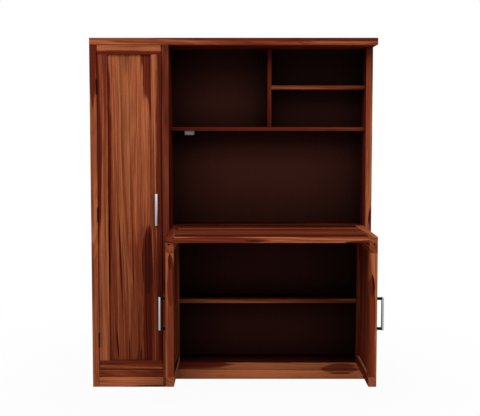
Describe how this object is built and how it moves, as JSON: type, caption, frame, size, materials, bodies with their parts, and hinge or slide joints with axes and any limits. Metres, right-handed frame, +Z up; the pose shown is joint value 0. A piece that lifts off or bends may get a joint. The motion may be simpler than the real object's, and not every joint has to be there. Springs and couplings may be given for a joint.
{
  "type": "study desk with bookshelf",
  "caption": "Wooden study unit: tall framed-door cupboard beside an open shelved hutch, with a desk flap that folds down onto the open doors of a low cabinet.",
  "frame": {"origin": "floor level, in the middle of the box around the unit with its flap down and its cabinet doors open", "axes": "+Z up, front towards -Y, cupboard at -X and hutch at +X"},
  "size_m": [1.364, 0.6608, 1.676],
  "materials": {
    "wood": "satin lacquer over strongly figured red-brown wood",
    "back_panel": "dark stained sheet",
    "black_metal": "satin black",
    "silver_metal": "satin silver bar on black feet",
    "grey_plastic": "matt grey",
    "black_plastic": "matt black"
  },
  "bodies": {
    "carcass": {"side_panel_left": "wood", "side_panel_middle": "wood", "side_panel_right": "wood", "top_board": "wood", "cupboard_floor": "wood", "cupboard_plinth": "wood", "cupboard_shelf_lower": "wood", "cupboard_shelf_upper": "wood", "cupboard_back": "back_panel", "hutch_shelf": "wood", "hutch_divider": "wood", "hutch_small_shelf": "wood", "hutch_back": "back_panel", "desk_board": "wood", "cabinet_shelf": "wood", "cabinet_floor": "wood", "cabinet_plinth": "wood", "flap_catch": "grey_plastic", "cupboard_hinge_lower_frame_leaf": "black_metal", "cupboard_hinge_middle_frame_leaf": "black_metal", "cupboard_hinge_upper_frame_leaf": "black_metal", "left_door_hinge_lower_frame_leaf": "black_metal", "left_door_hinge_upper_frame_leaf": "black_metal", "right_door_hinge_lower_frame_leaf": "black_metal", "right_door_hinge_upper_frame_leaf": "black_metal", "flap_hinge_frame_leaf": "black_metal"},
    "cupboard_door": {"cupboard_door_top_rail": "wood", "cupboard_door_bottom_rail": "wood", "cupboard_door_hinge_stile": "wood", "cupboard_door_free_stile": "wood", "cupboard_door_panel": "wood", "cupboard_door_handle": "silver_metal", "cupboard_hinge_lower_door_leaf": "black_metal", "cupboard_hinge_middle_door_leaf": "black_metal", "cupboard_hinge_upper_door_leaf": "black_metal"},
    "left_door": {"left_door_top_rail": "wood", "left_door_bottom_rail": "wood", "left_door_hinge_stile": "wood", "left_door_free_stile": "wood", "left_door_panel": "wood", "left_door_handle": "silver_metal", "left_door_edge_catch": "black_plastic", "left_door_hinge_lower_door_leaf": "black_metal", "left_door_hinge_upper_door_leaf": "black_metal"},
    "right_door": {"right_door_top_rail": "wood", "right_door_bottom_rail": "wood", "right_door_hinge_stile": "wood", "right_door_free_stile": "wood", "right_door_panel": "wood", "right_door_handle": "silver_metal", "right_door_edge_catch": "black_plastic", "right_door_hinge_lower_door_leaf": "black_metal", "right_door_hinge_upper_door_leaf": "black_metal"},
    "desk_flap": {"flap_cleat_left": "wood", "flap_cleat_right": "wood", "flap_front_rail": "wood", "flap_back_rail": "wood", "flap_panel": "wood", "flap_strike_plate": "black_metal", "flap_hinge_leaf": "black_metal"}
  },
  "joints": [
    {"name": "cupboard_door_swing", "type": "hinge", "parent": "carcass", "child": "cupboard_door", "pos_m": [-0.6485, -0.00843, 0.839], "axis": [0, 0, -1], "range_deg": [0, 165]},
    {"name": "left_door_swing", "type": "hinge", "parent": "carcass", "child": "left_door", "pos_m": [-0.307, 0.14438, 0.412], "axis": [0, 0, 1], "range_deg": [0, 90]},
    {"name": "right_door_swing", "type": "hinge", "parent": "carcass", "child": "right_door", "pos_m": [0.6455, 0.14438, 0.412], "axis": [0, 0, -1], "range_deg": [-75, 90]},
    {"name": "flap_fold", "type": "hinge", "parent": "carcass", "child": "desk_flap", "pos_m": [0.16925, 0.17438, 0.77], "axis": [-1, 0, 0], "range_deg": [0, 90]}
  ]
}
